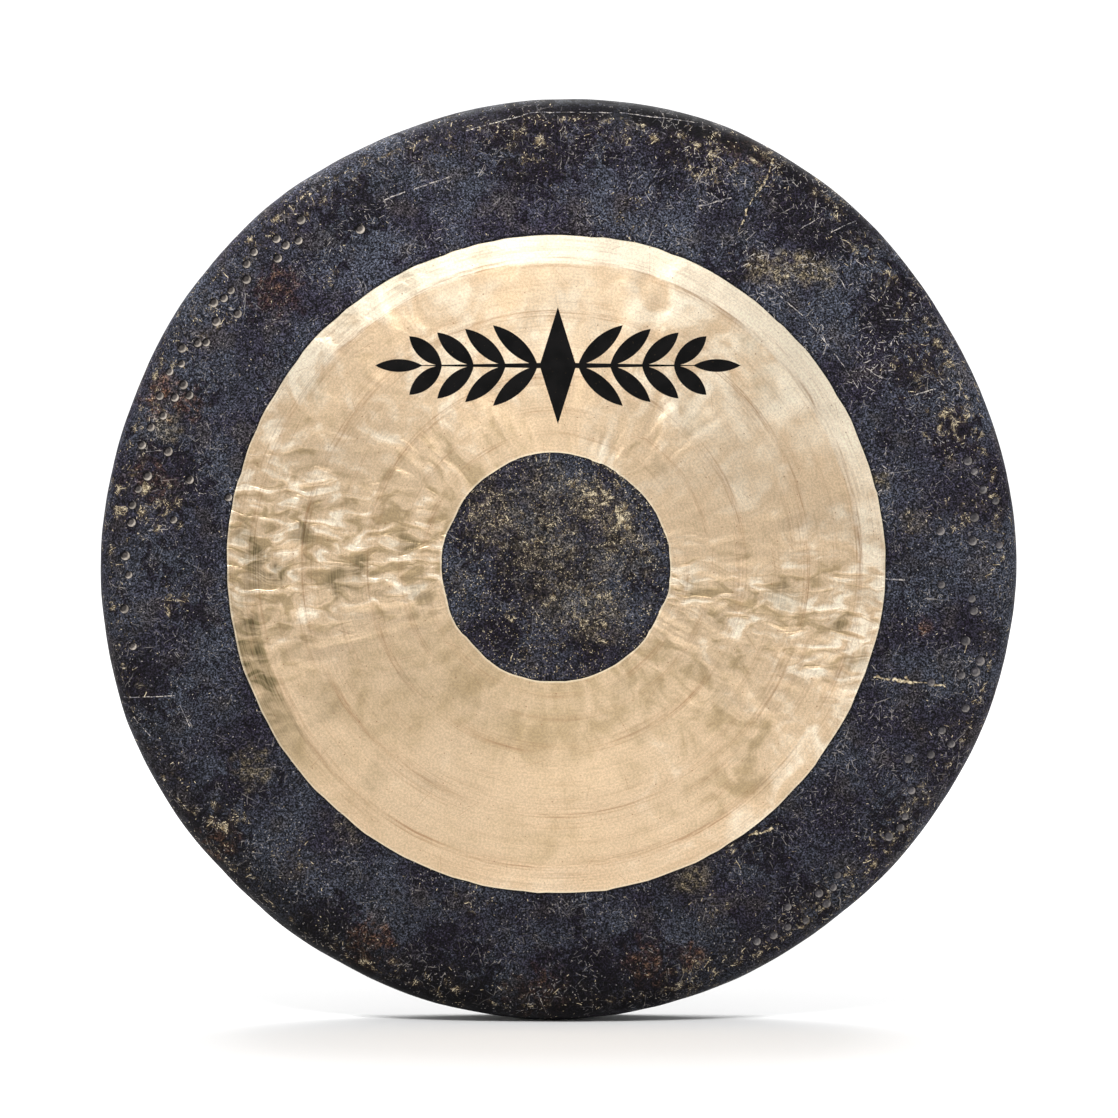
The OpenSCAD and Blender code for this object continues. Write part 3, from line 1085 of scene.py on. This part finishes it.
def make_back():
    """The scale of the gong's flat back, with shallow hammer marks all over."""
    rim = circle(LINING_START)
    u, v = ring_grid(circle(0), rim, np.linspace(0.01, 1, 110), 800)
    marks = 0.16 * waves(u, v, 22, 61) + 0.08 * waves(u, v, 12, 62)
    fade = rise(LINING_START - np.hypot(u, v), 0, 10)
    top = reversed_side(side(u, v, WALL, hammered(u, v) + marks * fade))
    under = reversed_side(hidden(circle(0), rim, np.linspace(0.01, 1, 26), 800))
    return shell_mesh("back_scale_disc", top, under, closed_middle=True, **back_fields())


# The deeper rings that the tool cut: (distance from the band's middle, strength).
GROOVES = [
    (217.0, 1.0), (213.5, 0.5), (222.5, 0.4), (227.0, 0.35), (231.0, 0.3), (179.5, 0.9),
    (175.0, 0.4), (187.0, 0.4), (169.0, 0.35), (134.0, 0.9), (129.5, 0.4), (109.5, 0.5),
    (93.0, 0.6), (157.0, 0.3), (200.0, 0.25),
]
# Each of those rings is a group of fine lines, this far apart.
GROOVE_LINES = [0.0, 1.5, 3.1]
# The band's outer strip falls away from here outwards, by this share of the distance.
STRIP_START = 217.0
STRIP_SLOPE = 0.022
# The deepest that the band's relief goes below the hammered surface.
DEEPEST = 0.75
# The most uneven stretches of the band: (bearing, half width in degrees, strength).
CRUMPLED = [(178, 50, 0.8), (-8, 46, 0.7), (132, 50, 0.8), (-42, 40, 0.8), (58, 30, 0.7)]
# The wedges of streaks on both sides of the centre, in the same form.
WEDGES = [(177, 34, 2.2), (-10, 26, 1.7)]


def from_band_middle(u, v):
    """The distance from the middle of the lathe's cut."""
    return np.hypot(u - BAND_AT[0], v - BAND_AT[1])


def grooves(u, v):
    """The fine lines of the deeper rings, from 0 to 1, coming and going round the band."""
    r = from_band_middle(u, v)
    total = np.zeros(u.shape)
    for k, (radius, strength) in enumerate(GROOVES):
        fade = rise(waves(u, v, 70, 90 + k, 12), -0.8 - strength, 1.0)
        for offset in GROOVE_LINES:
            total = np.maximum(total, strength * fade * np.exp(-(((r - radius - offset) / 0.55) ** 2)))
    return total


def summed_stretches(angle, table):
    """The sum of a table's stretches at these angles."""
    return sum(strength * bump(turned_to(angle, bearing), 0, half) for bearing, half, strength in table)


def crumple(u, v):
    """How uneven the band is: most of all level with the centre, on both sides."""
    return 0.4 + summed_stretches(np.arctan2(v, u), CRUMPLED)


def wedge(u, v):
    """How strong the streaks are left and right of the centre."""
    return summed_stretches(np.arctan2(v - CENTRE_AT[1], u - CENTRE_AT[0]), WEDGES)


def band_lift(u, v):
    """The band's relief, which stays clear of the pieces behind it."""
    strip = STRIP_SLOPE * np.maximum(from_band_middle(u, v) - STRIP_START, 0)
    relief = 0.25 * crumple(u, v) * ripples(u, v, 71) - 0.06 * grooves(u, v) - nicks(u, v) - strip - STEP
    return hammered(u, v) + np.maximum(relief, -DEEPEST)


def edge_gaps(u, v):
    """How far a point of the band lies inside its outer edge, and outside its inner edge."""
    bu, bv = u - BAND_AT[0], v - BAND_AT[1]
    cu, cv = u - CENTRE_AT[0], v - CENTRE_AT[1]
    outer = band_radius(np.arctan2(bv, bu)) - np.hypot(bu, bv)
    inner = np.hypot(cu, cv) - centre_radius(np.arctan2(cv, cu))
    return outer, inner


# Grey-green patches of painted shade on the band, for the shade of its hammered relief: (u, v, radius,
# strength).
BAND_PAINTED_SHADE = [
    (-108, 200, 9, 0.52), (-55, 221, 7, 0.45), (-150, 175, 9, 0.52), (-176, 124, 10, 0.45),
    (-225, 18, 7, 0.75), (-218, 5, 9, 0.83), (-183, 21, 8, 0.6), (-158, -13, 10, 0.6),
    (-141, -4, 8, 0.6), (-108, 13, 8, 0.52), (-98, -23, 8, 0.52), (-217, -11, 8, 0.75),
    (-200, -9, 8, 0.75), (-168, -107, 11, 0.52), (-107, -85, 9, 0.45), (-132, -155, 9, 0.45),
    (-92, -158, 8, 0.38), (161, -26, 11, 0.52), (202, -45, 8, 0.45), (214, -72, 8, 0.52),
    (97, -19, 8, 0.52), (46, -92, 8, 0.38), (59, -124, 8, 0.38), (116, -100, 9, 0.45),
    (134, -136, 9, 0.45), (150, -158, 8, 0.45), (138, 157, 8, 0.38), (148, 130, 8, 0.38),
    (97, 100, 9, 0.38), (72, 68, 7, 0.38),
]


def painted_grey_shade(u, v):
    """Grey-green painted shade: the left of the outer strip, and blotches here and there."""
    angle = np.arctan2(v, u)
    outer, _ = edge_gaps(u, v)
    strip = rise(19.5 - outer, 0, 1) * bump(turned_to(angle, 199), 0, 22) * (0.8 + 0.3 * waves(u, v, 16, 72))
    blotches = patches(u, v, BAND_PAINTED_SHADE) * (0.6 + 0.25 * wedge(u, v))
    return np.clip(np.maximum(1.25 * strip, blotches), 0, 1)


def painted_sheen(u, v):
    """Painted sheen and shade on the band: lighter in its outer strip except at its left, and at the upper
    right; darker at the left, the bottom and the right, and near the centre at the top and bottom.
    """
    angle = np.arctan2(v, u)
    outer, inner = edge_gaps(u, v)
    top, left, bottom, right = (bump(turned_to(angle, bearing), 0, 100) for bearing in (90, 185, -95, -15))
    tone = 0.12 - 0.16 * left - 0.16 * bottom - 0.12 * right
    tone -= 0.18 * np.maximum(top, bottom) * rise(70 - inner, 0, 40)
    tone += 0.12 * bump(turned_to(angle, 45), 0, 60)
    strip = 0.30 + 0.1 * top - 0.42 * bump(turned_to(angle, 192), 0, 80) - 0.14 * bottom - 0.06 * right
    return tone + rise(21 - outer, 0, 3) * strip


def painted_edge_highlight(u, v):
    """Painted highlight: a bright line along both edges of the band, beside the scale."""
    outer, inner = edge_gaps(u, v)
    return np.clip(0.4 * rise(1.2 - outer, 0, 0.6) + 0.55 * rise(0.9 - inner, 0, 0.5), 0, 1)


def make_band():
    """The bright turned band between the outer scale and the centre."""
    inner = circle(lambda a: centre_radius(a) - 0.5, CENTRE_AT)
    outer = circle(lambda a: band_radius(a) + 0.5, BAND_AT)
    u, v = ring_grid(inner, outer, np.linspace(0, 1, 150), 640)
    under = hidden(inner, outer, np.linspace(0, 1, 18), 640)
    fields = dict(groove=grooves, painted_grey_shade=painted_grey_shade, painted_edge_highlight=painted_edge_highlight, painted_sheen=painted_sheen, crumple=crumple, wedge=wedge)
    return shell_mesh("bright_band", side(u, v, 0.0, band_lift(u, v)), under, **fields)


def make_centre():
    """The scale of the middle of the face."""
    edge = circle(centre_radius, CENTRE_AT)
    point = circle(0, CENTRE_AT)
    u, v = ring_grid(point, edge, np.append(np.linspace(0.01, 0.99, 84), [0.996, 1]), 720)
    lift = hammered(u, v) + 0.05 * waves(u, v, 9, 81)
    lift[-1] -= STEP
    lift[-2] -= 0.06
    under = hidden(point, edge, np.linspace(0.01, 1, 8), 720)
    fields = dict(
        wear=centre_wear,
        warm=even(0),
        olive=lambda u, v: patches(u, v, CENTRE_OLIVE),
        dark=lambda u, v: patches(u, v, CENTRE_DARK),
        tone=centre_tone,
        scuff=even(0.25),
    )
    return shell_mesh("middle_scale", side(u, v, 0.0, lift), under, closed_middle=True, **fields)


def make_rim_edge():
    """The bare cut edge of the bronze, between the outer scale and the lining."""
    rows = np.array([RIM_END - 10.5, RIM_END - 0.4, RIM_END])
    u, v = round_grid(rows, 720)
    depth = np.array([0.25, 0.25, 0.55])[:, None]
    under = side(u, v, WALL - depth, broad_hammer(u, v))
    return shell_mesh("rim_edge", side(u, v, depth, broad_hammer(u, v)), under)


# The size of the mark's faces, which lets it follow the hammering.
MARK_CELL = 3.0
# How far the ink stands above the band, and how far it goes down into it.
INK_TOP = 0.06
INK_ROOT = 0.12


def make_mark():
    """The ornament of the CAD frame, cut into small faces and laid on the hammered band."""
    work = bmesh.new()
    work.from_mesh(frame["nodes"]["printed_mark"].data)
    bmesh.ops.delete(work, geom=[f for f in work.faces if f.normal.y > -0.9], context="FACES")
    bmesh.ops.remove_doubles(work, verts=work.verts, dist=1e-6)
    for axis in (0, 2):
        normal = [float(axis == i) for i in range(3)]
        for cut in np.arange(MARK[0][axis] + MARK_CELL, MARK[1][axis], MARK_CELL):
            every = work.verts[:] + work.edges[:] + work.faces[:]
            through = [c * cut * 0.001 for c in normal]
            bmesh.ops.bisect_plane(work, geom=every, plane_co=through, plane_no=normal)
    sunk = {p for p in bmesh.ops.extrude_face_region(work, geom=work.faces[:])["geom"]
            if isinstance(p, bmesh.types.BMVert)}
    u, v = (np.array([p.co[axis] * 1000 for p in work.verts]) for axis in (0, 2))
    above = np.array([-INK_ROOT if p in sunk else INK_TOP for p in work.verts])
    for p, spot in zip(work.verts, place(u, v, 0.0, band_lift(u, v) + above)):
        p.co = spot * 0.001
    bmesh.ops.recalc_face_normals(work, faces=work.faces)
    mesh = bpy.data.meshes.new("ink_mark")
    work.to_mesh(mesh)
    work.free()
    mesh.shade_smooth()
    mesh.set_sharp_from_angle(angle=math.radians(50))
    note_fields(mesh, u, v, {})
    return mesh


front = scale_material("forge_scale_front", 3, struck=True)
back = scale_material("forge_scale_back", 90)
centre = scale_material("forge_scale_centre", 60, speckled=1.0)
bronze = bronze_material()

add_piece(make_ring(), front, ["outer_scale"])
add_piece(make_shoulder(), front, ["outer_scale"])
add_piece(make_rim(), front, ["outer_scale"])
add_piece(make_centre(), centre, ["centre_scale"])
add_piece(make_back(), back, ["back_scale"])
add_piece(make_lining(), back, ["back_scale"])
add_piece(make_band(), bronze, ["bronze_plate"])
add_piece(make_rim_edge(), edge_material(), ["bronze_plate"])
add_piece(make_mark(), ink_material(), ["printed_mark"])

# ---------------------------------------------------------------- floor, light and camera, in metres

# The paper's flat part runs from SWEEP_HALF in front of the gong to SWEEP_Y behind it. It then
# curves up with radius SWEEP_R and goes on to SWEEP_TOP. It is twice SWEEP_HALF wide.
SWEEP_Y = 7.0
SWEEP_R = 1.2
SWEEP_TOP = 5.0
SWEEP_HALF = 12.0


def make_floor():
    """A pale studio sweep: the floor under the gong, curving up into a wall far behind it."""
    just_under = 0.0005
    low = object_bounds()[0][2] - just_under
    curve = np.linspace(0.1, math.pi / 2, 14)
    profile = [(-SWEEP_HALF, 0.0), (SWEEP_Y, 0.0)]
    profile += [(SWEEP_Y + SWEEP_R * math.sin(a), SWEEP_R - SWEEP_R * math.cos(a)) for a in curve]
    profile.append((SWEEP_Y + SWEEP_R, SWEEP_TOP))
    n = len(profile)
    mesh = bpy.data.meshes.new("sweep")
    mesh.from_pydata([(x, y, low + z) for x in (-SWEEP_HALF, SWEEP_HALF) for y, z in profile], [],
                     [(i, i + 1, n + i + 1, n + i) for i in range(n - 1)])
    mesh.shade_smooth()
    floor = bpy.data.objects.new("sweep", mesh)
    bpy.context.collection.objects.link(floor)
    paper = bpy.data.materials.new("pale_paper")
    paper.use_nodes = True
    shader = paper.node_tree.nodes["Principled BSDF"]
    shader.inputs["Base Color"].default_value = (0.66, 0.66, 0.66, 1)
    shader.inputs["Roughness"].default_value = 0.9
    shader.inputs["Specular IOR Level"].default_value = 0.1
    mesh.materials.append(paper)


def add_light(name, spot, aim, size, power):
    """A rectangular lamp at a spot, aimed at another, of this width and height."""
    lamp = bpy.data.lights.new(name, "AREA")
    lamp.shape = "RECTANGLE"
    lamp.size, lamp.size_y = size
    lamp.energy = power
    made = bpy.data.objects.new(name, lamp)
    made.location = spot
    made.rotation_euler = (Vector(aim) - Vector(spot)).to_track_quat("-Z", "Y").to_euler()
    bpy.context.collection.objects.link(made)


def light_scene():
    """An even white studio, a soft key light in front, one lamp over the floor and one for the wall."""
    world = bpy.data.worlds.new("studio")
    world.use_nodes = True
    world.node_tree.nodes["Background"].inputs[0].default_value = (1, 1, 1, 1)
    world.node_tree.nodes["Background"].inputs[1].default_value = 0.55
    bpy.context.scene.world = world
    add_light("key", (-0.5, -2.2, 2.4), (0, 0, 0), (1.3, 0.7), 122)
    add_light("floor_light", (0, 1.3, 2.4), (0, -0.1, -0.3), (3.0, 1.6), 95)
    add_light("wall_light", (0, 4.2, 4.2), (0, 6.5, 0.3), (7.0, 2.5), 420)
    bpy.context.scene.view_settings.view_transform = "Standard"


def add_camera():
    """A long lens, a little above the gong's middle."""
    distance = 4.5
    raised = math.radians(3)
    # The gong isn't quite in the middle of the picture.
    right, up = 0.0008, 0.0006
    # The width that the whole picture covers at the gong's face.
    picture_width = 0.8028
    lens = bpy.data.cameras.new("camera")
    lens.sensor_width = 36
    lens.lens = lens.sensor_width * (distance + FACE_Y / 1000) / picture_width
    made = bpy.data.objects.new("camera", lens)
    made.location = (right, -distance * math.cos(raised), up + distance * math.sin(raised))
    made.rotation_euler = (math.pi / 2 - raised, 0, 0)
    bpy.context.collection.objects.link(made)
    bpy.context.scene.camera = made


make_floor()
light_scene()
add_camera()
